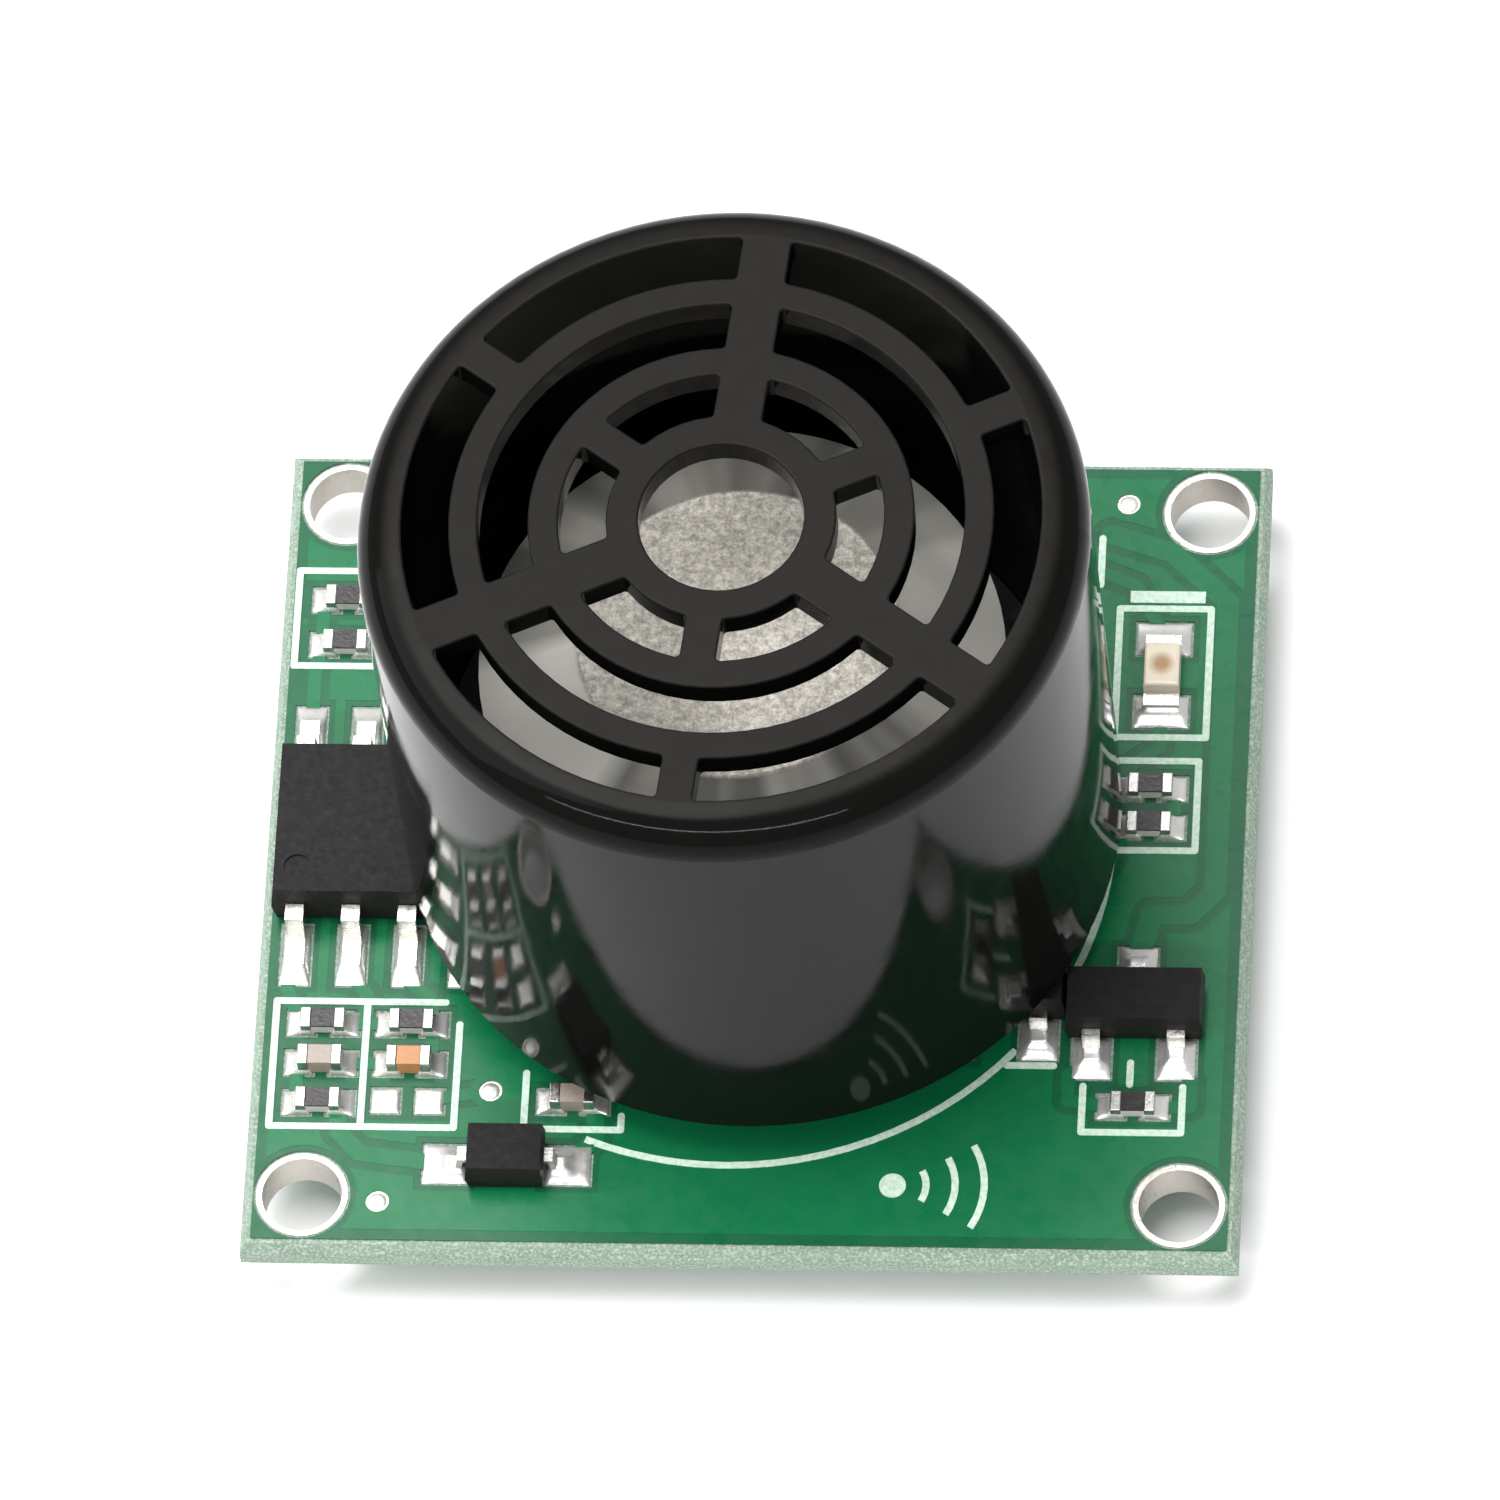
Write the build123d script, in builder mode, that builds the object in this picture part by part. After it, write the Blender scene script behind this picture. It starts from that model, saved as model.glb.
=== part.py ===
"""Ultrasonic distance sensor: a small board that carries one round transducer.

Frame: millimetres, +Z up. The origin is the centre of the four corner holes, on the board's underside.
"""
import os
from math import atan2, degrees, hypot

from build123d import *

# Board
board_length = 22.0
board_width = 20.0
board_thickness = 1.0
score_land = 0.15
score_depth = 0.3
copper_thickness = 0.03
mask_film = 0.02
mask_clearance = 0.06
mask_edge_gap = 0.1
pour_edge_gap = 0.35
pour_gap = 0.2
silk_thickness = 0.03
silk_line = 0.16

# Plated holes
corner_spacing_x = 19.6
corner_spacing_y = 17.6
corner_hole_radius = 0.9
corner_ring_radius = 1.03
header_count = 5
header_pitch = 2.54
header_y = 8.7
header_hole_radius = 0.5
header_ring_radius = 0.85
via_points = [(7.95, 9.0), (-8.1, -8.95), (-5.72, -6.15)]
via_hole_radius = 0.1
via_ring_radius = 0.26
plating_wall = 0.1

# Transducer
barrel_x = 0.18
barrel_y = 0.35
barrel_radius = 8.05
barrel_gap = 1.5
barrel_height = 13.45
barrel_wall = 0.95
barrel_edge_fillet = 0.95
grille_thickness = 0.65
grille_turn = -5.5
grille_centre_radius = 1.82
grille_rings = [(5.98, 7.02, 6), (4.24, 5.34, 3), (2.53, 3.57, 6)]
long_spoke_width = 1.08
short_spoke_width = 0.8
slot_corner_fillet = 0.1
slot_edge_fillet = 0.05
running_clearance = 0.02
base_thickness = 2.0
boss_radius = 4.2
cone_rim_radius = 5.85
cone_top_radius = 3.55
cone_top_depth = 5.3
cone_rim_depth = 6.6
cone_sheet = 0.25
plate_radius = 5.2
plate_thickness = 0.3
plate_depth = 7.1
piezo_radius = 3.9
piezo_thickness = 0.3
post_radius = 1.0
ring_inner_radius = 4.1
ring_outer_radius = 4.9
pin_spread = 2.54
pin_radius = 0.32
pin_hole_radius = 0.45
pin_ring_radius = 0.85
pin_rise = 0.9
pin_tail = 0.95
solder_collar = 0.08
solder_share = 0.7
wire_radius = 0.1
wire_lean = 0.8

# Surface parts
chip_length = 1.0
chip_width = 0.5
resistor_height = 0.35
capacitor_height = 0.5
chip_terminal = 0.24
chip_terminal_skin = 0.02
chip_pad_length = 0.62
chip_pad_width = 0.6
chip_pad_spread = 0.49
chip_end_fillet = 0.03
mould_draft = 7
mould_mark_radius = 0.3
mould_mark_depth = 0.05
lead_slope = 1.6
lead_inner_slope = 0.7

chip_resistors = [
    (-9.57, -4.5), (-9.57, -6.5), (-7.57, -4.5), (8.75, 1.7),
    (8.75, 0.72), (8.68, -6.35), (-9.65, 6.3), (-9.65, 5.15),
]
chip_capacitors = [(-9.57, -5.5), (-7.57, -5.5), (-3.85, -6.4)]
empty_chip_place = (-7.57, -6.43)

# A lead is (root, knee, toe, exit height, width, thickness), with root, knee and toe from the body's middle
amplifier_x = -8.4
amplifier_y = 0.0
amplifier_length = 4.9
amplifier_width = 3.9
amplifier_height = 1.4
amplifier_stand_off = 0.1
amplifier_pitch = 1.27
amplifier_lead = (1.95, 2.15, 3.1, 0.9, 0.41, 0.2)
amplifier_pad_reach = 2.78
amplifier_mark = (amplifier_x - 1.85, amplifier_y - 1.25)
small_stand_off = 0.05
transistors = [(8.65, -4.0), (5.55, -3.55)]
transistor_length = 3.1
transistor_width = 1.4
transistor_height = 1.05
transistor_pitch = 0.95
transistor_lead = (0.7, 0.76, 1.3, 0.6, 0.4, 0.13)
transistor_pad_reach = 1.15
diode_x = -5.25
diode_y = -8.0
diode_length = 1.75
diode_width = 1.25
diode_height = 0.95
diode_lead = (0.875, 0.95, 1.35, 0.56, 0.34, 0.12)
diode_pad_reach = 1.37
led_x = 8.9
led_y = 4.6
led_width = 0.8
led_base_length = 1.2
led_base_height = 0.25
led_lens_length = 1.1
led_lens_height = 0.35
led_lens_fillet = 0.08
led_terminal_length = 0.3
led_terminal_height = 0.28
led_terminal_reach = 0.75
led_pad_reach = 0.93

# Underside
controller_x = 0.1
controller_y = -4.6
controller_length = 6.5
controller_width = 4.4
controller_height = 1.15
controller_stand_off = 0.1
controller_pins = 10
controller_pitch = 0.65
controller_lead = (2.2, 2.35, 3.2, 0.6, 0.24, 0.12)
controller_pad_reach = 2.85
coil_points = [(-5.2, 5.2), (5.4, 5.2)]
coil_length = 3.2
coil_width = 2.5
coil_height = 1.15
coil_terminal = 0.4
coil_pad_reach = 1.35

seat = board_thickness + copper_thickness
mask_top = seat + mask_film
barrel_bottom = board_thickness + barrel_gap
barrel_top = barrel_bottom + barrel_height
barrel_axis = (barrel_x, barrel_y)
base_top = barrel_bottom + base_thickness
plate_top = barrel_top - plate_depth
plate_bottom = plate_top - plate_thickness
piezo_bottom = plate_bottom - piezo_thickness

corner_points = [
    (x * corner_spacing_x / 2, y * corner_spacing_y / 2) for x in (-1, 1) for y in (-1, 1)
]
header_points = [
    ((i - (header_count - 1) / 2) * header_pitch, header_y) for i in range(header_count)
]
pin_points = [(barrel_x - pin_spread, barrel_y), (barrel_x + pin_spread, barrel_y)]
amplifier_places = [
    (amplifier_x + (i - 1.5) * amplifier_pitch, amplifier_y, side) for i in range(4) for side in (-1, 1)
]
controller_places = [
    (controller_x + (i - (controller_pins - 1) / 2) * controller_pitch, controller_y, side)
    for i in range(controller_pins) for side in (-1, 1)
]

# Pads as (x, y, width, height)
chip_places = chip_resistors + chip_capacitors + [empty_chip_place]
chip_pads = [
    (x + side * chip_pad_spread, y, chip_pad_length, chip_pad_width)
    for x, y in chip_places for side in (-1, 1)
]
amplifier_pads = [(x, y + side * amplifier_pad_reach, 0.65, 1.5) for x, y, side in amplifier_places]
transistor_pads = []
for x, y in transistors:
    transistor_pads += [
        (x, y + transistor_pad_reach, 0.85, 1.0),
        (x - transistor_pitch, y - transistor_pad_reach, 0.85, 1.0),
        (x + transistor_pitch, y - transistor_pad_reach, 0.85, 1.0),
    ]
diode_pads = [(diode_x + side * diode_pad_reach, diode_y, 1.0, 0.95) for side in (-1, 1)]
led_pads = [(led_x, led_y + side * led_pad_reach, 1.2, 0.8) for side in (-1, 1)]
top_pads = chip_pads + amplifier_pads + transistor_pads + diode_pads + led_pads
controller_pads = [(x, y + side * controller_pad_reach, 0.4, 1.3) for x, y, side in controller_places]
coil_pads = [(x + side * coil_pad_reach, y, 0.9, 2.6) for x, y in coil_points for side in (-1, 1)]
bottom_pads = controller_pads + coil_pads

# Copper runs as (width, points)
top_runs = [
    (0.5, [(7.6, 8.2), (9.0, 7.75), (10.3, 6.5), (10.3, -0.9), (9.75, -1.5), (8.9, -1.5), (8.65, -2.6)]),
    (0.3, [(8.9, 3.6), (8.9, 2.75), (8.2, 2.2), (8.2, 1.8)]),
    (0.3, [(8.9, 5.6), (8.2, 6.9), (7.0, 7.4)]),
    (0.3, [(9.3, 1.7), (9.3, 0.7)]),
    (0.3, [(8.2, 0.7), (7.9, -0.2), (7.0, -1.1), (5.6, -1.6), (5.55, -2.3)]),
    (0.3, [(9.6, -5.2), (9.95, -5.7), (9.95, -6.35), (9.2, -6.35)]),
    (0.3, [(7.7, -5.2), (7.2, -5.55), (7.2, -6.2), (8.1, -6.35)]),
    (0.3, [(-10.1, -4.5), (-10.45, -3.6), (-10.3, -3.0)]),
    (0.3, [(-9.1, -4.5), (-8.05, -4.5)]),
    (0.3, [(-10.1, -5.5), (-10.1, -6.5)]),
    (0.3, [(-9.1, -5.5), (-8.05, -5.5)]),
    (0.3, [(-7.1, -4.5), (-7.1, -5.5)]),
    (0.3, [(-7.75, -3.4), (-7.2, -3.85), (-7.1, -4.4)]),
    (0.4, [(-9.1, -6.5), (-9.1, -7.2), (-8.6, -7.75), (-6.7, -8.0)]),
    (0.3, [(-7.1, -6.4), (-5.72, -6.15)]),
    (0.3, [(-9.0, -3.3), (-8.6, -3.8), (-8.6, -4.2), (-9.1, -4.5)]),
    (0.3, [(-10.2, 6.3), (-10.2, 5.2)]),
    (0.3, [(-10.3, 3.4), (-10.3, 4.4), (-10.2, 5.1)]),
    (0.3, [(-9.2, 6.3), (-8.6, 7.1), (-7.0, 7.7)]),
    (0.4, [(-3.9, -8.0), (-3.3, -7.3), (-3.35, -6.5)]),
]
bottom_runs = [
    (0.4, [(-3.8, 5.2), (-2.4, 3.2), (-2.4, 0.6)]),
    (0.4, [(4.0, 5.2), (2.6, 3.2), (2.6, 0.6)]),
    (0.3, [(-6.6, 5.2), (-7.6, 3.0), (-7.6, -2.0), (-3.0, -7.4)]),
    (0.3, [(6.8, 5.2), (7.8, 3.0), (7.8, -2.0), (3.0, -7.4)]),
]
# Printed lines as points
silk_lines = [
    [(-10.65, -3.95), (-6.85, -3.95)],
    [(-10.65, -3.95), (-10.65, -7.1), (-6.5, -7.1), (-6.5, -4.5)],
    [(-8.6, -3.95), (-8.6, -7.1)],
    [(-8.2, 7.05), (-10.8, 7.05), (-10.8, 4.6), (-8.6, 4.6)],
    [(7.87, 6.3), (9.93, 6.3), (9.93, 3.0), (7.87, 3.0), (7.87, 6.3)],
    [(7.85, 2.4), (9.8, 2.4), (9.8, 0.12), (7.95, 0.12)],
    [(7.54, -5.85), (7.54, -7.0), (9.77, -7.0), (9.77, -5.85)],
    [(8.58, -5.25), (8.58, -5.8)],
    [(5.82, -5.35), (6.86, -5.35)],
    [(-4.93, -5.7), (-4.93, -6.95)],
    [(-4.45, -7.1), (-2.75, -7.1), (-2.75, -6.75)],
    [(7.4, 6.9), (7.4, 8.1)],
]
silk_circle_x = -0.4
silk_circle_y = 0.4
silk_circle_radius = 8.35
silk_circle_arcs = [(248, 72), (336, 20)]
led_bar = (8.94, 6.6, 1.7, 0.3)
wave_mark_x = 3.4
wave_mark_y = -8.4
wave_mark_radii = [0.75, 1.4, 2.05]
wave_mark_sweep = 60
wave_mark_dot = 0.3


def save(part, name):
    """Label a finished solid and write it as one file."""
    part.label = name
    export_step(part, f"parts/{name}.step")


def stroke(points, width, mode=Mode.ADD):
    """Draw round-ended lines through the points in the open sketch."""
    for (x0, y0), (x1, y1) in zip(points, points[1:]):
        with Locations(((x0 + x1) / 2, (y0 + y1) / 2)):
            SlotCenterToCenter(
                hypot(x1 - x0, y1 - y0), width, rotation=degrees(atan2(y1 - y0, x1 - x0)), mode=mode
            )


def rectangles(pads, grow, mode=Mode.ADD):
    """Draw every pad, grown outward, in the open sketch."""
    for x, y, width, height in pads:
        with Locations((x, y)):
            Rectangle(width + 2 * grow, height + 2 * grow, mode=mode)


def runs(lines, grow, mode=Mode.ADD):
    """Draw copper runs, grown outward, in the open sketch."""
    for width, points in lines:
        stroke(points, width + 2 * grow, mode)


def discs(points, radius, mode=Mode.ADD):
    """Draw equal discs in the open sketch."""
    with Locations(*points):
        Circle(radius, mode=mode)


def clear_metal(pad_list, grow):
    """Remove all pads and hole rings, grown outward, from the open sketch."""
    rectangles(pad_list, grow, Mode.SUBTRACT)
    discs(corner_points, corner_ring_radius + grow, Mode.SUBTRACT)
    discs(header_points, header_ring_radius + grow, Mode.SUBTRACT)
    discs(pin_points, pin_ring_radius + grow, Mode.SUBTRACT)
    discs(via_points, via_ring_radius + grow, Mode.SUBTRACT)


def copper_outline(lines, pad_list):
    """Draw the runs in the open sketch, and a pour that keeps a gap from runs, pads and rings."""
    Rectangle(board_length - 2 * pour_edge_gap, board_width - 2 * pour_edge_gap)
    runs(lines, pour_gap, Mode.SUBTRACT)
    clear_metal(pad_list, pour_gap)
    runs(lines, 0)
    discs(via_points, via_ring_radius + pour_gap)
    clear_metal(pad_list, 0)


# Board core: laminate with V-scored edges, drilled for every plated hole
with BuildPart() as board_core:
    with BuildSketch(Plane.XY.offset(score_depth)):
        Rectangle(board_length + 2 * score_land, board_width + 2 * score_land)
    extrude(amount=board_thickness - 2 * score_depth)
    for face in (board_core.faces().sort_by(Axis.Z)[0], board_core.faces().sort_by(Axis.Z)[-1]):
        extrude(face, amount=score_depth, taper=degrees(atan2(score_land, score_depth)))
    with BuildSketch():
        discs(corner_points, corner_hole_radius + plating_wall)
        discs(header_points, header_hole_radius + plating_wall)
        discs(pin_points, pin_hole_radius + plating_wall)
        discs(via_points, via_hole_radius + plating_wall)
    extrude(amount=board_thickness, mode=Mode.SUBTRACT)
save(board_core.part, "board_core")


# Plated holes: a wall with a ring on each face
def plated_holes(name, points, hole_radius, ring_radius):
    with BuildPart() as plating:
        with BuildSketch(Plane.XY.offset(-copper_thickness)):
            discs(points, ring_radius)
        extrude(amount=copper_thickness)
        with BuildSketch(Plane.XY.offset(board_thickness)):
            discs(points, ring_radius)
        extrude(amount=copper_thickness)
        with BuildSketch():
            discs(points, hole_radius + plating_wall)
        extrude(amount=board_thickness)
        with BuildSketch(Plane.XY.offset(-copper_thickness)):
            discs(points, hole_radius)
        extrude(amount=board_thickness + 2 * copper_thickness, mode=Mode.SUBTRACT)
    save(plating.part, name)


plated_holes("corner_hole_plating", corner_points, corner_hole_radius, corner_ring_radius)
plated_holes("header_hole_plating", header_points, header_hole_radius, header_ring_radius)
plated_holes("pin_hole_plating", pin_points, pin_hole_radius, pin_ring_radius)
plated_holes("via_plating", via_points, via_hole_radius, via_ring_radius)


# Pads, copper and mask, the same way on both faces
def pads(name, pad_list, bottom):
    with BuildPart() as tinned:
        with BuildSketch(Plane.XY.offset(bottom)):
            rectangles(pad_list, 0)
        extrude(amount=copper_thickness)
    save(tinned.part, name)


def copper(name, lines, pad_list, bottom):
    with BuildPart() as layer:
        with BuildSketch(Plane.XY.offset(bottom)):
            copper_outline(lines, pad_list)
        extrude(amount=copper_thickness)
    save(layer.part, name)


def mask(name, pad_list, bottom):
    """A film over the copper, open round each pad and ring."""
    with BuildPart() as film:
        with BuildSketch(Plane.XY.offset(bottom)):
            Rectangle(board_length - 2 * mask_edge_gap, board_width - 2 * mask_edge_gap)
            clear_metal(pad_list, mask_clearance)
        extrude(amount=mask_film)
    save(film.part, name)


pads("pads_top", top_pads, board_thickness)
pads("pads_bottom", bottom_pads, -copper_thickness)
copper("copper_top", top_runs, top_pads, board_thickness)
copper("copper_bottom", bottom_runs, bottom_pads, -copper_thickness)
mask("solder_mask_top", top_pads, seat)
mask("solder_mask_bottom", bottom_pads, -copper_thickness - mask_film)

# Printed lines on the mask: boxes, the circle round the barrel, and a generic sound-wave mark
with BuildPart() as silkscreen:
    with BuildSketch(Plane.XY.offset(mask_top)):
        for line in silk_lines:
            stroke(line, silk_line)
        rectangles([led_bar], 0)
        for start, sweep_angle in silk_circle_arcs:
            with BuildLine():
                CenterArc((silk_circle_x, silk_circle_y), silk_circle_radius, start, sweep_angle)
            trace(line_width=silk_line)
        for radius in wave_mark_radii:
            with BuildLine():
                CenterArc((wave_mark_x, wave_mark_y), radius, -wave_mark_sweep / 2, wave_mark_sweep)
            trace(line_width=silk_line)
        discs([(wave_mark_x, wave_mark_y)], wave_mark_dot)
        clear_metal(top_pads, mask_clearance)
    extrude(amount=silk_thickness)
save(silkscreen.part, "silkscreen_top")


# Transducer
with BuildPart() as transducer_case:
    with BuildSketch(Plane.XY.offset(barrel_bottom)):
        discs([barrel_axis], barrel_radius)
    extrude(amount=barrel_height)
    with BuildSketch(Plane.XY.offset(barrel_bottom)):
        discs([barrel_axis], barrel_radius - barrel_wall)
    extrude(amount=barrel_height - grille_thickness, mode=Mode.SUBTRACT)
    fillet(transducer_case.faces().sort_by(Axis.Z)[-1].edges(), barrel_edge_fillet)
    with BuildSketch(Plane.XY.offset(barrel_top - grille_thickness)) as grille:
        with Locations(barrel_axis):
            for inner, outer, _ in grille_rings:
                Circle(outer)
                Circle(inner, mode=Mode.SUBTRACT)
            with PolarLocations(0, 3, start_angle=90 + grille_turn):
                Rectangle(
                    barrel_radius, long_spoke_width, align=(Align.MIN, Align.CENTER), mode=Mode.SUBTRACT
                )
            for inner, outer, spokes in grille_rings:
                if spokes == 6:
                    with PolarLocations((inner + outer) / 2, 3, start_angle=30 + grille_turn):
                        Rectangle(1.5 * (outer - inner), short_spoke_width, mode=Mode.SUBTRACT)
            fillet(grille.vertices(), slot_corner_fillet)
            Circle(grille_centre_radius)
    extrude(amount=grille_thickness, mode=Mode.SUBTRACT)
    slot_wires = transducer_case.faces().sort_by(Axis.Z)[-1].inner_wires()
    fillet([edge for wire in slot_wires for edge in wire.edges()], slot_edge_fillet)
save(transducer_case.part, "transducer_case")

with BuildPart() as transducer_base:
    with BuildSketch(Plane.XY.offset(barrel_bottom)):
        discs([barrel_axis], barrel_radius - barrel_wall - running_clearance)
    extrude(amount=base_thickness)
    with BuildSketch(Plane.XY.offset(mask_top)):
        discs([barrel_axis], boss_radius)
    extrude(amount=barrel_bottom - mask_top)
    with BuildSketch(Plane.XY.offset(mask_top)):
        discs(pin_points, pin_radius)
    extrude(amount=barrel_bottom + base_thickness - mask_top, mode=Mode.SUBTRACT)
save(transducer_base.part, "transducer_base")

with BuildPart() as resonator_cone:
    with BuildSketch(Plane.XZ.offset(-barrel_y)):
        with BuildLine():
            Polyline(
                (barrel_x, barrel_top - cone_top_depth),
                (barrel_x + cone_top_radius, barrel_top - cone_top_depth),
                (barrel_x + cone_rim_radius, barrel_top - cone_rim_depth),
                (barrel_x + cone_rim_radius, barrel_top - cone_rim_depth - cone_sheet),
                (barrel_x + cone_top_radius, barrel_top - cone_top_depth - cone_sheet),
                (barrel_x, barrel_top - cone_top_depth - cone_sheet),
                close=True,
            )
        make_face()
    revolve(axis=Axis((barrel_x, barrel_y, 0), (0, 0, 1)))
save(resonator_cone.part, "resonator_cone")


def disc(name, radius, low, high, bore=0.0):
    """A plain disc or ring on the transducer's axis."""
    with BuildPart() as plain:
        with BuildSketch(Plane.XY.offset(low)):
            discs([barrel_axis], radius)
            if bore > 0:
                discs([barrel_axis], bore, Mode.SUBTRACT)
        extrude(amount=high - low)
    save(plain.part, name)


disc("coupling_post", post_radius, plate_top, barrel_top - cone_top_depth - cone_sheet)
disc("diaphragm_plate", plate_radius, plate_bottom, plate_top)
disc("piezo_disc", piezo_radius, piezo_bottom, plate_bottom)
disc("support_ring", ring_outer_radius, base_top, plate_bottom, ring_inner_radius)

with BuildPart() as terminal_pins:
    with BuildSketch(Plane.XY.offset(-pin_tail)):
        discs(pin_points, pin_radius)
    extrude(amount=base_top + pin_rise + pin_tail)
save(terminal_pins.part, "terminal_pins")

with BuildPart() as pin_solder:
    for x, y in pin_points:
        with Locations((x, y, -copper_thickness)):
            Cone(
                pin_radius + solder_collar, pin_ring_radius, pin_tail * solder_share,
                align=(Align.CENTER, Align.CENTER, Align.MAX),
            )
    with BuildSketch(Plane.XY.offset(-pin_tail)):
        discs(pin_points, pin_radius)
    extrude(amount=pin_tail, mode=Mode.SUBTRACT)
save(pin_solder.part, "pin_solder")

with BuildPart() as lead_wires:
    for side in (-1, 1):
        with BuildLine() as path:
            Line(
                (barrel_x + side * pin_spread, barrel_y, base_top + pin_rise),
                (barrel_x + side * pin_spread * wire_lean, barrel_y, piezo_bottom),
            )
        with BuildSketch(Plane.XY.offset(base_top + pin_rise)):
            with Locations((barrel_x + side * pin_spread, barrel_y)):
                Circle(wire_radius)
        sweep(path=path.line)
save(lead_wires.part, "lead_wires")


# Leaded packages: a drafted moulding and bent leads
def moulded_body(name, x, y, length, width, low, high, mark=None):
    """A moulded block that narrows above and below its middle, with an optional round mark."""
    middle = (low + high) / 2
    with BuildPart() as block:
        with BuildSketch(Plane.XY.offset(middle)):
            with Locations((x, y)):
                Rectangle(length, width)
        extrude(amount=(high - low) / 2, taper=mould_draft)
        with BuildSketch(Plane.XY.offset(middle)):
            with Locations((x, y)):
                Rectangle(length, width)
        extrude(amount=(low - high) / 2, taper=mould_draft)
        if mark:
            with BuildSketch(Plane.XY.offset(high - mould_mark_depth)):
                discs([mark], mould_mark_radius)
            extrude(amount=mould_mark_depth, mode=Mode.SUBTRACT)
    save(block.part, name)


def bent_leads(places, root, knee, toe, exit_height, width, thickness):
    """Leads that leave a body along Y, bend down and end in feet on the top pads."""
    rise = seat + exit_height
    with BuildPart() as leads:
        for x, y, side in places:
            with BuildSketch(Plane.YZ.offset(x)):
                with BuildLine():
                    Polyline(
                        (y + side * root, rise),
                        (y + side * (knee + thickness), rise),
                        (y + side * (knee + lead_slope * thickness), seat + thickness),
                        (y + side * toe, seat + thickness),
                        (y + side * toe, seat),
                        (y + side * (knee + lead_inner_slope * thickness), seat),
                        (y + side * knee, rise - thickness),
                        (y + side * root, rise - thickness),
                        close=True,
                    )
                make_face()
            extrude(amount=width / 2, both=True)
    return leads.part


moulded_body(
    "amplifier_body", amplifier_x, amplifier_y, amplifier_length, amplifier_width,
    seat + amplifier_stand_off, seat + amplifier_height, amplifier_mark,
)
save(bent_leads(amplifier_places, *amplifier_lead), "amplifier_leads")

for number, (x, y) in enumerate(transistors, 1):
    moulded_body(
        f"transistor_{number}_body", x, y, transistor_length, transistor_width,
        seat + small_stand_off, seat + transistor_height,
    )
    lead_places = [(x, y, 1), (x - transistor_pitch, y, -1), (x + transistor_pitch, y, -1)]
    save(bent_leads(lead_places, *transistor_lead), f"transistor_{number}_leads")

moulded_body(
    "diode_body", diode_x, diode_y, diode_length, diode_width, seat + small_stand_off, seat + diode_height
)
lead_pair = bent_leads([(0, 0, -1), (0, 0, 1)], *diode_lead)
with BuildPart() as diode_leads:
    with Locations(Location((diode_x, diode_y, 0), (0, 0, 90))):
        add(lead_pair)
save(diode_leads.part, "diode_leads")

# Light-emitting diode: base, lens and end terminals
with BuildPart() as led_base:
    with Locations((led_x, led_y, mask_top)):
        Box(
            led_width, led_base_length, seat + led_base_height - mask_top,
            align=(Align.CENTER, Align.CENTER, Align.MIN),
        )
save(led_base.part, "led_base")
with BuildPart() as led_lens:
    with Locations((led_x, led_y, seat + led_base_height)):
        Box(led_width, led_lens_length, led_lens_height, align=(Align.CENTER, Align.CENTER, Align.MIN))
    fillet(led_lens.faces().sort_by(Axis.Z)[-1].edges(), led_lens_fillet)
save(led_lens.part, "led_lens")
with BuildPart() as led_terminals:
    for side in (-1, 1):
        with Locations((led_x, led_y + side * led_terminal_reach, seat)):
            Box(
                led_width, led_terminal_length, led_terminal_height,
                align=(Align.CENTER, Align.CENTER, Align.MIN),
            )
save(led_terminals.part, "led_terminals")


# Chip parts: a ceramic block between two metal ends
def chip(name, x, y, height):
    with BuildPart() as block:
        with Locations((x, y, seat + chip_terminal_skin)):
            Box(
                chip_length - 2 * chip_terminal, chip_width - 2 * chip_terminal_skin,
                height - 2 * chip_terminal_skin, align=(Align.CENTER, Align.CENTER, Align.MIN),
            )
    save(block.part, f"{name}_body")
    with BuildPart() as ends:
        for side in (-1, 1):
            with Locations((x + side * (chip_length - chip_terminal) / 2, y, seat)):
                Box(chip_terminal, chip_width, height, align=(Align.CENTER, Align.CENTER, Align.MIN))
        fillet(ends.edges(), chip_end_fillet)
    save(ends.part, f"{name}_ends")


for number, (x, y) in enumerate(chip_resistors, 1):
    chip(f"resistor_{number}", x, y, resistor_height)
for number, (x, y) in enumerate(chip_capacitors, 1):
    chip(f"capacitor_{number}", x, y, capacitor_height)

# Underside parts
moulded_body(
    "controller_body", controller_x, controller_y, controller_length, controller_width,
    -copper_thickness - controller_height, -copper_thickness - controller_stand_off,
)
upright_leads = bent_leads(controller_places, *controller_lead)
save(mirror(upright_leads, Plane.XY.offset(board_thickness / 2)), "controller_leads")

with BuildPart() as coil_bodies:
    for x, y in coil_points:
        with Locations((x, y, -copper_thickness - mask_film)):
            Box(
                coil_length - 2 * coil_terminal, coil_width, coil_height - mask_film,
                align=(Align.CENTER, Align.CENTER, Align.MAX),
            )
save(coil_bodies.part, "coil_bodies")

with BuildPart() as coil_ends:
    for x, y in coil_points:
        for side in (-1, 1):
            with Locations((x + side * (coil_length - coil_terminal) / 2, y, -copper_thickness)):
                Box(coil_terminal, coil_width, coil_height, align=(Align.CENTER, Align.CENTER, Align.MAX))
save(coil_ends.part, "coil_ends")
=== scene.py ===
"""Looks for the ultrasonic distance sensor: materials, solder, light, floor and camera."""
import math

import bpy
from mathutils import Matrix, Vector


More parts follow.
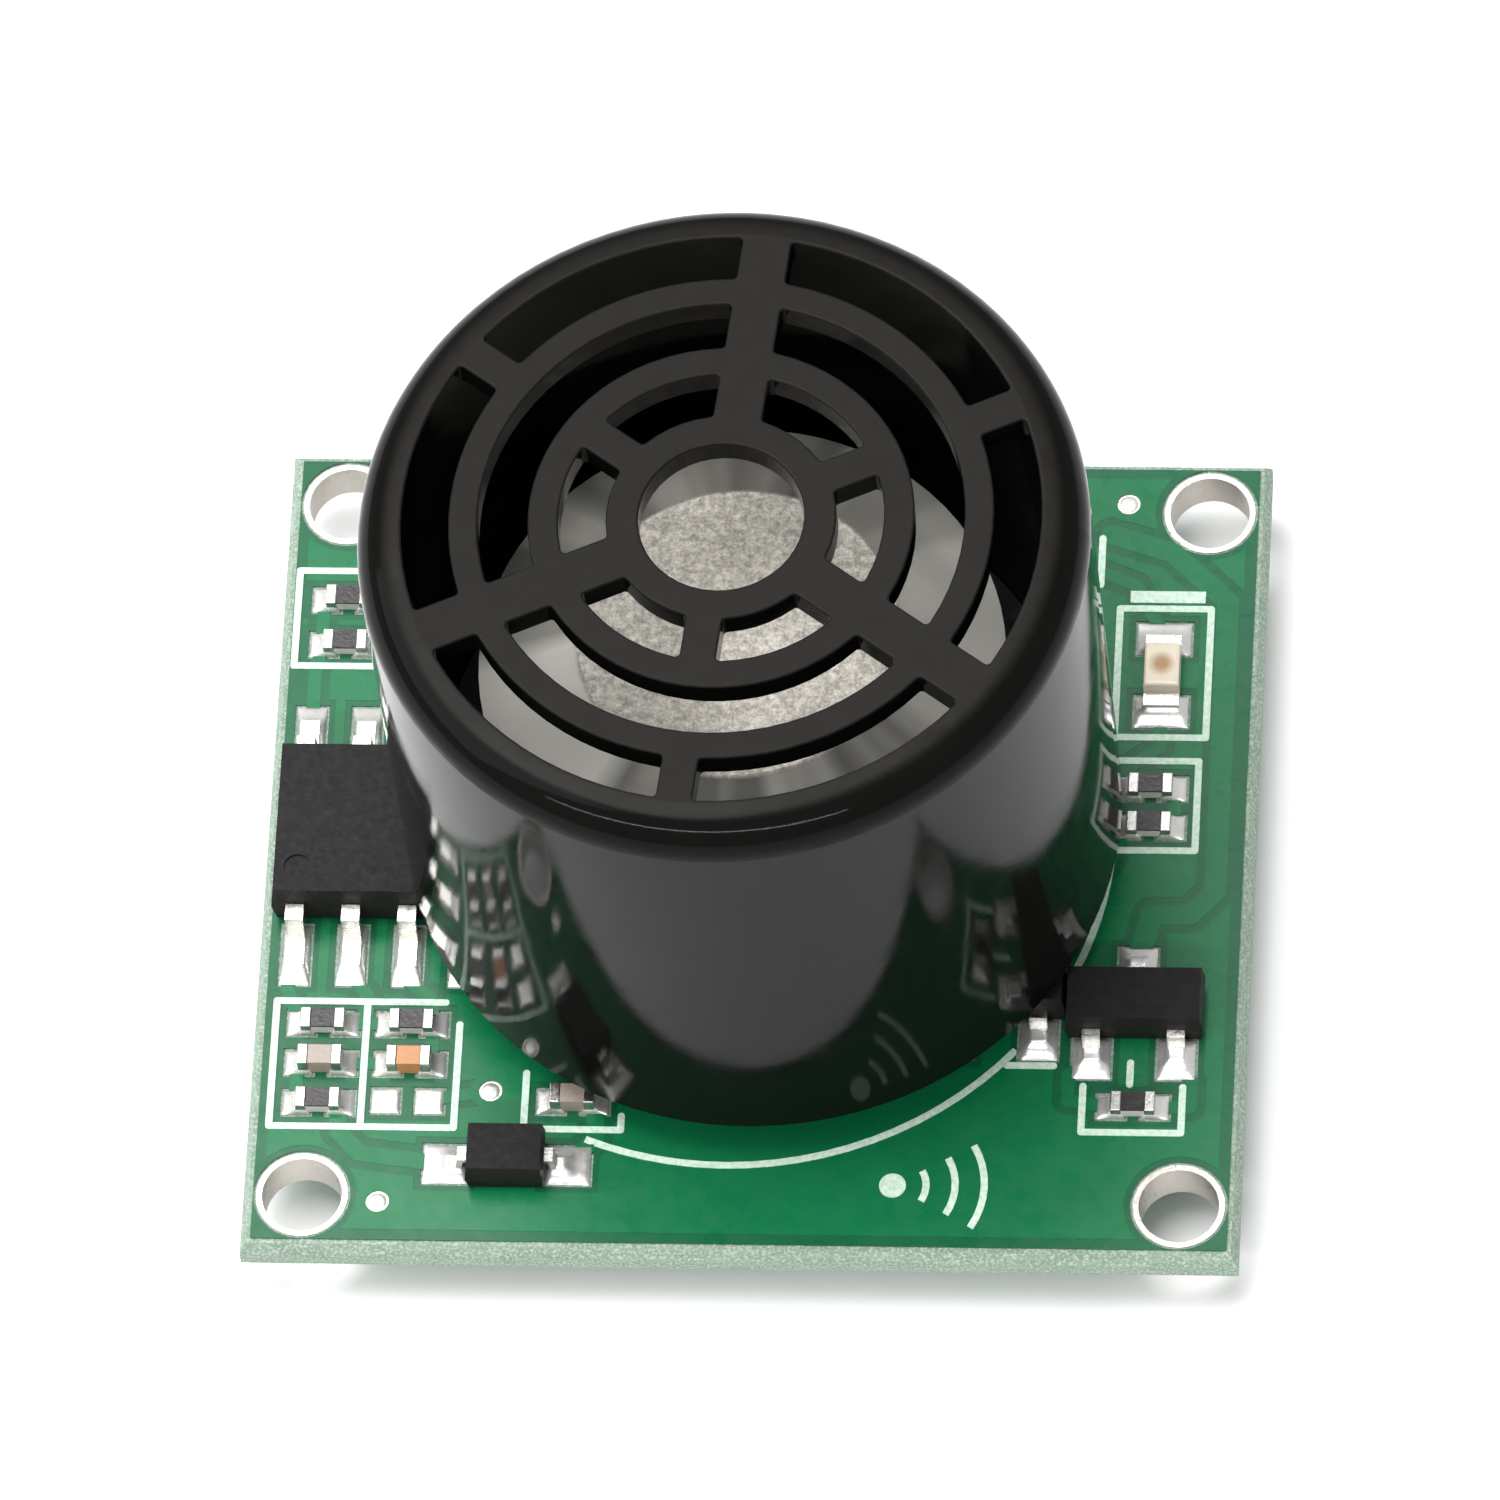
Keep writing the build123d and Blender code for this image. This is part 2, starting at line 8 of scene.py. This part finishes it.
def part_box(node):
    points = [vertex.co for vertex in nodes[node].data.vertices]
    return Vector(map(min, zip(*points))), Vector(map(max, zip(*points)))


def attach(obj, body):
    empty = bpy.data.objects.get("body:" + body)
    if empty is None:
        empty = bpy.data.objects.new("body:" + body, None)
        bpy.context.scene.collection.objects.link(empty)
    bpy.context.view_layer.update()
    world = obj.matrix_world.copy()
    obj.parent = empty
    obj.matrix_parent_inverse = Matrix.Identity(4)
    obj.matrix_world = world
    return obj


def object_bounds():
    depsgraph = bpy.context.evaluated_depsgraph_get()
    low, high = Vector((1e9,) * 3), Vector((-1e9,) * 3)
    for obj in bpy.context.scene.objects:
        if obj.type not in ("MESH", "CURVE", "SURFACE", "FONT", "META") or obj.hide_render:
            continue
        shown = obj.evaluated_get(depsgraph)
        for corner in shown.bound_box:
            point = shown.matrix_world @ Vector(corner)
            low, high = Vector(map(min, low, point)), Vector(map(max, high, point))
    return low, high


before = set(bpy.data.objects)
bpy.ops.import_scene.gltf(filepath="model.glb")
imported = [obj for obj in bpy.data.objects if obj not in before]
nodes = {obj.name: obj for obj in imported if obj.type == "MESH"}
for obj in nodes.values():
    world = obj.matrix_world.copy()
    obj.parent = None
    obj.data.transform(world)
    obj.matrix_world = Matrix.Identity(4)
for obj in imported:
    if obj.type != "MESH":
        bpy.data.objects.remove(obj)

MM = 0.001
cad_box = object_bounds()
board_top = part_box("board_core")[1].z

# Camera: where it stands, in degrees and millimetres round the board's centre
camera_elevation = 61.38
camera_azimuth = 10.3
camera_roll = -8.415
camera_distance = 449.5
camera_aside = -0.214
camera_up = 2.294
focal_pixels = 20000
image_pixels = 1500
sensor_width = 36

# Painted highlights on the spun cone's side: bright sectors, direction in degrees, and how wide
cone_glints = [(5, 0.2), (206, 0.14)]

# Lacquer and solder, in millimetres
relief_rise = 0.028
solder_lift = 0.001
climb_reach = 0.11
via_cap_dome = 0.03

# The solder's outline on a pad: the higher, the squarer, and how finely it is divided
pad_squareness = 5
pad_steps = 18

# Share of a via's ring that its solder cap covers
via_cap_share = 0.8

# Stage
floor_size = 1.2
floor_gap = 0.01 * MM
sky_strength = 0.55


# Node building

class Surface:
    """A node material under construction, with short calls for its textures."""

    def __init__(self, name, color, roughness, metallic=0.0, specular=0.5, coat=0.0, coat_roughness=0.05):
        self.material = bpy.data.materials.new(name)
        self.material.use_nodes = True
        self.tree = self.material.node_tree
        self.shader = self.tree.nodes["Principled BSDF"]
        self.set("Base Color", (*color, 1))
        self.set("Roughness", roughness)
        self.set("Metallic", metallic)
        self.set("Specular IOR Level", specular)
        self.set("Coat Weight", coat)
        self.set("Coat Roughness", coat_roughness)
        self.place = self.node("ShaderNodeTexCoord").outputs["Object"]
        self.normal = None

    def node(self, kind, **settings):
        made = self.tree.nodes.new(kind)
        for key, value in settings.items():
            setattr(made, key, value)
        return made

    def feed(self, socket, value):
        if isinstance(value, bpy.types.NodeSocket):
            self.tree.links.new(value, socket)
        else:
            socket.default_value = value

    def set(self, name, value):
        self.feed(self.shader.inputs[name], value)

    def noise(self, size_mm, detail=3.0, stretch=(1, 1, 1), roughness=0.55):
        """Smooth noise with features of about this size."""
        mapping = self.node("ShaderNodeMapping")
        self.feed(mapping.inputs["Vector"], self.place)
        mapping.inputs["Scale"].default_value = [1 / s for s in stretch]
        made = self.node("ShaderNodeTexNoise")
        self.feed(made.inputs["Vector"], mapping.outputs["Vector"])
        made.inputs["Scale"].default_value = 1 / (size_mm * MM)
        made.inputs["Detail"].default_value = detail
        made.inputs["Roughness"].default_value = roughness
        return made.outputs["Fac"]

    def heading(self, centre):
        """The level direction from an upright axis, of length 1."""
        outward = self.node("ShaderNodeVectorMath", operation="SUBTRACT")
        self.feed(outward.inputs[0], self.place)
        outward.inputs[1].default_value = centre
        level = self.node("ShaderNodeVectorMath", operation="MULTIPLY")
        self.feed(level.inputs[0], outward.outputs["Vector"])
        level.inputs[1].default_value = (1, 1, 0)
        direction = self.node("ShaderNodeVectorMath", operation="NORMALIZE")
        self.feed(direction.inputs[0], level.outputs["Vector"])
        return direction.outputs["Vector"]

    def turning_noise(self, centre, size):
        """Noise that changes with the heading from an upright axis, and not with the distance from it."""
        made = self.node("ShaderNodeTexNoise")
        self.feed(made.inputs["Vector"], self.heading(centre))
        made.inputs["Scale"].default_value = size
        made.inputs["Detail"].default_value = 2
        return made.outputs["Fac"]

    def facing(self, centre, degrees):
        """1 at one heading from an upright axis, falling to -1 on the other side."""
        along = self.node("ShaderNodeVectorMath", operation="DOT_PRODUCT")
        self.feed(along.inputs[0], self.heading(centre))
        along.inputs[1].default_value = (math.cos(math.radians(degrees)), math.sin(math.radians(degrees)), 0)
        return along.outputs["Value"]

    def axis(self, which):
        made = self.node("ShaderNodeSeparateXYZ")
        self.feed(made.inputs["Vector"], self.place)
        return made.outputs[which]

    def span(self, value, low, high, to_low=0.0, to_high=1.0):
        """Remap a value from one range to another, held at the ends."""
        made = self.node("ShaderNodeMapRange")
        self.feed(made.inputs["Value"], value)
        made.inputs["From Min"].default_value = low
        made.inputs["From Max"].default_value = high
        made.inputs["To Min"].default_value = to_low
        made.inputs["To Max"].default_value = to_high
        return made.outputs["Result"]

    def math(self, operation, a, b):
        made = self.node("ShaderNodeMath", operation=operation)
        self.feed(made.inputs[0], a)
        self.feed(made.inputs[1], b)
        return made.outputs[0]

    def mix(self, factor, first, second):
        """Blend two colours."""
        made = self.node("ShaderNodeMix", data_type="RGBA")
        self.feed(made.inputs["Factor"], factor)
        for socket, value in ((made.inputs[6], first), (made.inputs[7], second)):
            self.feed(socket, value if isinstance(value, bpy.types.NodeSocket) else (*value, 1))
        return made.outputs[2]

    def distance_to(self, point):
        """Distance from a point in the row frame, in millimetres."""
        away = self.node("ShaderNodeVectorMath", operation="DISTANCE")
        self.feed(away.inputs[0], self.place)
        away.inputs[1].default_value = point
        return self.math("DIVIDE", away.outputs["Value"], MM)

    def bump(self, height, depth_mm, strength=1.0):
        made = self.node("ShaderNodeBump")
        made.inputs["Distance"].default_value = depth_mm * MM
        made.inputs["Strength"].default_value = strength
        self.feed(made.inputs["Height"], height)
        if self.normal is not None:
            self.feed(made.inputs["Normal"], self.normal)
        self.normal = made.outputs["Normal"]
        self.set("Normal", self.normal)


def srgb(*levels):
    """Linear colour from 0-255 screen levels."""
    out = []
    for level in levels:
        x = level / 255
        out.append(x / 12.92 if x <= 0.04045 else ((x + 0.055) / 1.055) ** 2.4)
    return tuple(out)


# Materials

def solder_mask(name, dark, light):
    """Green lacquer, a little cloudy and wavy."""
    s = Surface(name, light, 0.3, specular=0.3)
    s.set("Base Color", s.mix(s.noise(1.6, detail=2), dark, light))
    s.set("Roughness", s.span(s.noise(0.5), 0.3, 0.7, 0.22, 0.36))
    s.bump(s.noise(0.35, detail=2), 0.004)
    return s


def laminate():
    s = Surface("laminate", srgb(176, 192, 176), 0.75)
    strands = s.noise(0.16, detail=4, stretch=(5, 5, 1))
    specks = s.noise(0.07, detail=2)
    pale = s.mix(strands, srgb(96, 122, 104), srgb(146, 166, 150))
    s.set("Base Color", s.mix(s.span(specks, 0.45, 0.7), pale, srgb(176, 188, 176)))
    s.bump(strands, 0.05)
    s.bump(specks, 0.02)
    return s


def tinned(name, color, roughness, grain_mm, depth_mm, metallic=1.0):
    s = Surface(name, color, roughness, metallic=metallic)
    cloud = s.noise(grain_mm * 2)
    darker = tuple(0.78 * c for c in color)
    s.set("Base Color", s.mix(cloud, darker, color))
    s.set("Roughness", s.span(cloud, 0.3, 0.7, roughness * 0.75, roughness * 1.25))
    s.bump(s.noise(grain_mm), depth_mm)
    return s


def glossy_case():
    """Polished black on the side, finely textured on the grille face, and the grille face painted a little
    paler as painted light from above.
    """
    s = Surface("glossy_black", srgb(20, 20, 19), 0.1, specular=0.07)
    _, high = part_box("transducer_case")
    on_face = s.span(s.axis("Z"), high[2] - 0.1 * MM, high[2] - 0.02 * MM)
    side = s.mix(s.noise(2.0), srgb(9, 9, 8), srgb(14, 14, 13))
    # Painted light: the grille face's colour is paler than the side's, standing in for light falling from
    # above.
    face = s.mix(s.noise(0.5), srgb(25, 24, 22), srgb(32, 31, 29))
    s.set("Base Color", s.mix(on_face, side, face))
    polish = s.span(s.noise(1.2, detail=4), 0.35, 0.7, 0.05, 0.12)
    s.set("Roughness", s.math("ADD", polish, s.span(on_face, 0, 1, 0, 0.3)))
    s.bump(s.noise(2.6, detail=1), 0.008)
    s.bump(s.noise(0.12, detail=2), 0.0008)
    return s


def matte_mould(name="matte_mould"):
    s = Surface(name, srgb(24, 21, 22), 0.5, specular=0.2)
    s.set("Base Color", s.mix(s.noise(0.3), srgb(15, 13, 13), srgb(28, 25, 25)))
    s.set("Roughness", s.span(s.noise(0.2), 0.3, 0.7, 0.42, 0.62))
    s.bump(s.noise(0.06, detail=3), 0.006)
    return s


def printed_ink():
    s = Surface("printed_ink", srgb(214, 238, 224), 0.6)
    s.set("Base Color", s.mix(s.span(s.noise(0.12), 0.3, 0.7), srgb(176, 208, 186), srgb(220, 238, 226)))
    s.bump(s.noise(0.08), 0.006)
    return s


def cone_metal():
    """Spun aluminium: grained on the flat top; round the cone's side, streaks that are partly spin marks and
    partly painted reflection, with painted highlight sectors over them.
    """
    s = Surface("cone_metal", srgb(190, 186, 176), 0.42, metallic=0.15)
    low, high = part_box("resonator_cone")
    on_top = s.span(s.axis("Z"), high[2] - 0.06 * MM, high[2] - 0.01 * MM)
    grain = s.noise(0.16, detail=4, roughness=0.75)
    centre = ((low[0] + high[0]) / 2, (low[1] + high[1]) / 2, 0)
    # Painted reflection: the side's streaks are partly the metal's spin marks and partly painted reflection.
    spin_marks_and_painted_reflections = s.span(s.turning_noise(centre, 2.6), 0.4, 0.6)
    # Painted highlights: each glint brightens one fixed sector of the side.
    for direction, width in cone_glints:
        glint = s.span(s.facing(centre, direction), 1 - width, 1 - width / 2)
        spin_marks_and_painted_reflections = s.math("MAXIMUM", s.math("MULTIPLY", spin_marks_and_painted_reflections, 0.6), glint)
    top = s.mix(s.span(grain, 0.36, 0.64), srgb(168, 163, 152), srgb(248, 242, 231))
    side = s.mix(spin_marks_and_painted_reflections, srgb(112, 111, 105), srgb(250, 247, 238))
    s.set("Base Color", s.mix(on_top, side, top))
    s.set("Roughness", s.span(on_top, 0, 1, 0.3, 0.55))
    s.bump(s.math("MULTIPLY", grain, s.span(on_top, 0, 1, 0.25, 1.0)), 0.03)
    return s


def ceramic(name, color, roughness=0.5):
    s = Surface(name, color, roughness)
    lighter = tuple(min(1, 1.35 * c) for c in color)
    s.set("Base Color", s.mix(s.noise(0.12), color, lighter))
    s.bump(s.noise(0.05), 0.004)
    return s


def coated_resistor(node):
    """A pale ceramic block with a dark coat on its upper face."""
    s = Surface(f"{node}_coat", srgb(34, 29, 30), 0.3)
    _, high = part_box(node)
    coat = s.span(s.axis("Z"), high[2] - 0.06 * MM, high[2] - 0.04 * MM)
    dark = s.mix(s.noise(0.15), srgb(24, 20, 21), srgb(46, 40, 41))
    pale = s.mix(s.noise(0.08), srgb(190, 186, 178), srgb(220, 216, 210))
    s.set("Base Color", s.mix(coat, pale, dark))
    s.set("Roughness", s.span(coat, 0, 1, 0.6, 0.28))
    s.bump(s.noise(0.1), 0.006)
    return s


def lens():
    s = Surface("lens", srgb(216, 204, 182), 0.25, coat=0.4)
    low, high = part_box("led_lens")
    middle = [(a + b) / 2 for a, b in zip(low, high)]
    near = s.span(s.distance_to((middle[0], middle[1], high[2])), 0.12, 0.34)
    s.set("Base Color", s.mix(near, srgb(176, 138, 96), srgb(232, 220, 198)))
    s.bump(s.noise(0.2), 0.006)
    return s


def rubbery():
    s = Surface("silicone", srgb(206, 204, 198), 0.5)
    s.set("Base Color", s.mix(s.noise(0.4), srgb(192, 190, 184), srgb(218, 216, 210)))
    s.bump(s.noise(0.2), 0.01)
    return s


mask_surface = solder_mask("mask_on_laminate", srgb(10, 86, 54), srgb(14, 94, 60))
relief_surface = solder_mask("mask_on_copper", srgb(8, 100, 60), srgb(14, 112, 68))
laminate_surface = laminate()
solder_surface = tinned("bright_solder", srgb(246, 245, 242), 0.3, 0.2, 0.008, metallic=0.7)
plating_surface = tinned("tinned_plating", srgb(214, 207, 200), 0.34, 0.1, 0.008)
lead_surface = tinned("tinned_lead", srgb(224, 222, 216), 0.28, 0.1, 0.005)
chip_end_surface = tinned("chip_end", srgb(214, 212, 208), 0.33, 0.07, 0.006)
copper_surface = tinned("bare_copper", srgb(214, 140, 104), 0.35, 0.1, 0.004)
brass_surface = tinned("brass_plate", srgb(214, 186, 116), 0.3, 0.3, 0.004)
case_surface = glossy_case()
mould_surface = matte_mould()
base_surface = matte_mould("base_mould")
ink_surface = printed_ink()
cone_surface = cone_metal()
piezo_surface = ceramic("piezo_ceramic", srgb(172, 160, 142))
grey_chip_surface = ceramic("grey_chip", srgb(150, 138, 128), 0.35)
tan_chip_surface = ceramic("tan_chip", srgb(176, 124, 82), 0.35)
ferrite_surface = ceramic("ferrite", srgb(52, 52, 56), 0.6)
led_base_surface = ceramic("led_base", srgb(214, 208, 194), 0.5)
lens_surface = lens()
silicone_surface = rubbery()

surfaces = {
    "board_core": laminate_surface, "solder_mask_top": mask_surface, "solder_mask_bottom": mask_surface,
    "copper_top": copper_surface, "copper_bottom": copper_surface, "silkscreen_top": ink_surface,
    "pads_top": solder_surface, "pads_bottom": solder_surface, "pin_solder": solder_surface,
    "corner_hole_plating": plating_surface, "header_hole_plating": plating_surface,
    "pin_hole_plating": plating_surface, "via_plating": plating_surface,
    "transducer_case": case_surface, "transducer_base": base_surface, "resonator_cone": cone_surface,
    "coupling_post": brass_surface, "diaphragm_plate": brass_surface, "piezo_disc": piezo_surface,
    "support_ring": silicone_surface, "terminal_pins": lead_surface, "lead_wires": lead_surface,
    "led_base": led_base_surface, "led_lens": lens_surface, "led_terminals": chip_end_surface,
    "coil_bodies": ferrite_surface, "coil_ends": chip_end_surface, "capacitor_2_body": tan_chip_surface,
}
for name, node in nodes.items():
    if name in surfaces:
        surface = surfaces[name]
    elif name.startswith("resistor") and name.endswith("_body"):
        surface = coated_resistor(name)
    elif name.startswith("capacitor") and name.endswith("_body"):
        surface = grey_chip_surface
    elif name.endswith("_ends"):
        surface = chip_end_surface
    elif name.endswith("_leads"):
        surface = lead_surface
    else:
        surface = mould_surface
    for place in node.material_slots:
        place.material = surface.material


def add_piece(name, mesh, surface):
    """Show a new mesh as a piece that rides on the sensor's one body."""
    mesh.materials.clear()
    mesh.materials.append(surface.material)
    piece = bpy.data.objects.new(name, mesh)
    bpy.context.scene.collection.objects.link(piece)
    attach(piece, "root")


# The lacquer stands a little proud where it covers copper

def mask_relief(name, copper_node, rise):
    mesh = nodes[copper_node].data.copy()
    mesh.transform(Matrix.Translation((0, 0, rise * MM)))
    add_piece(name, mesh, relief_surface)


mask_relief("mask_relief_top", "copper_top", relief_rise)
mask_relief("mask_relief_bottom", "copper_bottom", -relief_rise)


# Solder

def islands(node_name):
    """The box (low, high) of every separate solid in a CAD node."""
    mesh = nodes[node_name].data
    parent = {}

    def root(key):
        while parent[key] != key:
            parent[key] = parent[parent[key]]
            key = parent[key]
        return key

    keys = [tuple(round(c / MM, 3) for c in v.co) for v in mesh.vertices]
    for key in keys:
        parent.setdefault(key, key)
    for edge in mesh.edges:
        a, b = root(keys[edge.vertices[0]]), root(keys[edge.vertices[1]])
        parent[a] = b
    groups = {}
    for key in parent:
        groups.setdefault(root(key), []).append(key)
    boxes = []
    for points in groups.values():
        low = Vector(min(p[i] for p in points) for i in range(3))
        high = Vector(max(p[i] for p in points) for i in range(3))
        boxes.append((low, high))
    return boxes


def solder_height(x, y, pad, metals, dome, climb):
    """Height of the solder over a pad: a dome that climbs any metal standing in it."""
    low, high = pad
    s = 2 * (x - low.x) / (high.x - low.x) - 1
    t = 2 * (y - low.y) / (high.y - low.y) - 1
    edge = max(0.0, 1 - abs(s) ** pad_squareness) * max(0.0, 1 - abs(t) ** pad_squareness)
    rise = dome
    for metal_low, metal_high in metals:
        dx = max(metal_low.x - x, x - metal_high.x, 0)
        dy = max(metal_low.y - y, y - metal_high.y, 0)
        rise += climb * math.exp(-math.hypot(dx, dy) / climb_reach)
    return rise * math.sqrt(edge)


def solder_joints(name, pads, metals, dome, climb, side=1):
    """One mesh of solder, a small height field on each pad."""
    points = []
    faces = []
    for pad in pads:
        low, high = pad
        near = [
            m for m in metals
            if m[0].x < high.x and m[1].x > low.x and m[0].y < high.y and m[1].y > low.y
        ]
        start = len(points)
        level = high.z if side > 0 else low.z
        for i in range(pad_steps + 1):
            for j in range(pad_steps + 1):
                x = low.x + (high.x - low.x) * i / pad_steps
                y = low.y + (high.y - low.y) * j / pad_steps
                z = level + side * (solder_lift + solder_height(x, y, pad, near, dome, climb))
                points.append((x * MM, y * MM, z * MM))
        for i in range(pad_steps):
            for j in range(pad_steps):
                a = start + i * (pad_steps + 1) + j
                quad = (a, a + pad_steps + 1, a + pad_steps + 2, a + 1)
                faces.append(quad if side > 0 else quad[::-1])
    mesh = bpy.data.meshes.new(name)
    mesh.from_pydata(points, [], faces)
    mesh.shade_smooth()
    add_piece(name, mesh, solder_surface)


chip_ends = [box for n in nodes if n.endswith("_ends") and n != "coil_ends" for box in islands(n)]
chip_ends += islands("led_terminals")
top_leads = [box for n in nodes if n.endswith("_leads") and n != "controller_leads" for box in islands(n)]
solder_joints("solder_top", islands("pads_top"), chip_ends + top_leads, 0.035, 0.16)
under_metals = islands("controller_leads") + islands("coil_ends")
solder_joints("solder_under", islands("pads_bottom"), under_metals, 0.02, 0.1, side=-1)


def via_caps(name, vias, rings=6, sides=32):
    """A low round cap of solder in the mouth of every small via."""
    points = []
    faces = []
    for low, high in vias:
        middle = (low + high) / 2
        radius = via_cap_share * (high.x - low.x) / 2
        start = len(points)
        points.append((middle.x * MM, middle.y * MM, (high.z + via_cap_dome) * MM))
        for ring in range(1, rings + 1):
            out = ring / rings
            rise = via_cap_dome * math.sqrt(1 - out ** 2) + solder_lift
            for i in range(sides):
                turn = math.tau * i / sides
                points.append((
                    (middle.x + radius * out * math.cos(turn)) * MM,
                    (middle.y + radius * out * math.sin(turn)) * MM,
                    (high.z + rise) * MM,
                ))
        for i in range(sides):
            j = (i + 1) % sides
            faces.append((start, start + 1 + i, start + 1 + j))
            for ring in range(rings - 1):
                a = start + 1 + ring * sides
                faces.append((a + i, a + sides + i, a + sides + j, a + j))
    mesh = bpy.data.meshes.new(name)
    mesh.from_pydata(points, [], faces)
    mesh.shade_smooth()
    add_piece(name, mesh, solder_surface)


via_caps("via_solder", islands("via_plating"))


# Floor, light and camera

floor_level = cad_box[0].z - floor_gap
bpy.ops.mesh.primitive_plane_add(size=floor_size, location=(0, 0, floor_level))
floor = bpy.context.object
floor.name = "floor"
floor_surface = Surface("floor_paper", (0.94, 0.94, 0.94), 0.8, specular=0.2)
paper = floor_surface.mix(floor_surface.noise(3), (0.93, 0.93, 0.93), (0.95, 0.95, 0.95))
floor_surface.set("Base Color", paper)
floor.data.materials.append(floor_surface.material)


def soft_box(name, place, size, power):
    """A rectangular light that faces the object."""
    light = bpy.data.lights.new(name, "AREA")
    light.shape = "RECTANGLE"
    light.size, light.size_y = size
    light.energy = power
    made = bpy.data.objects.new(name, light)
    made.location = place
    made.rotation_euler = (-Vector(place)).to_track_quat("-Z", "Y").to_euler()
    bpy.context.scene.collection.objects.link(made)


soft_box("key_light", (-0.09, 0.06, 0.45), (0.30, 0.30), 2.2)
soft_box("front_strip", (-0.05, -0.37, 0.33), (0.60, 0.012), 1.0)
soft_box("left_light", (-0.36, -0.02, 0.36), (0.44, 0.44), 1.2)
world = bpy.data.worlds.new("studio")
world.use_nodes = True
world.node_tree.nodes["Background"].inputs["Color"].default_value = (1, 1, 1, 1)
world.node_tree.nodes["Background"].inputs["Strength"].default_value = sky_strength
bpy.context.scene.world = world

azimuth, elevation, roll = (math.radians(a) for a in (camera_azimuth, camera_elevation, camera_roll))
back = Vector((
    math.sin(azimuth) * math.cos(elevation), -math.cos(azimuth) * math.cos(elevation), math.sin(elevation)
))
level_right = Vector((math.cos(azimuth), math.sin(azimuth), 0))
level_up = back.cross(level_right)
right = level_right * math.cos(roll) + level_up * math.sin(roll)
up = level_up * math.cos(roll) - level_right * math.sin(roll)
spot = (back * camera_distance + right * camera_aside + up * camera_up) * MM + Vector((0, 0, board_top))
camera_data = bpy.data.cameras.new("camera")
camera_data.sensor_width = sensor_width
camera_data.lens = focal_pixels * sensor_width / image_pixels
camera_data.clip_start = 0.01
camera = bpy.data.objects.new("camera", camera_data)
camera.matrix_world = Matrix.Translation(spot) @ Matrix((right, up, back)).transposed().to_4x4()
bpy.context.scene.collection.objects.link(camera)
bpy.context.scene.camera = camera
bpy.context.scene.view_settings.view_transform = "Standard"
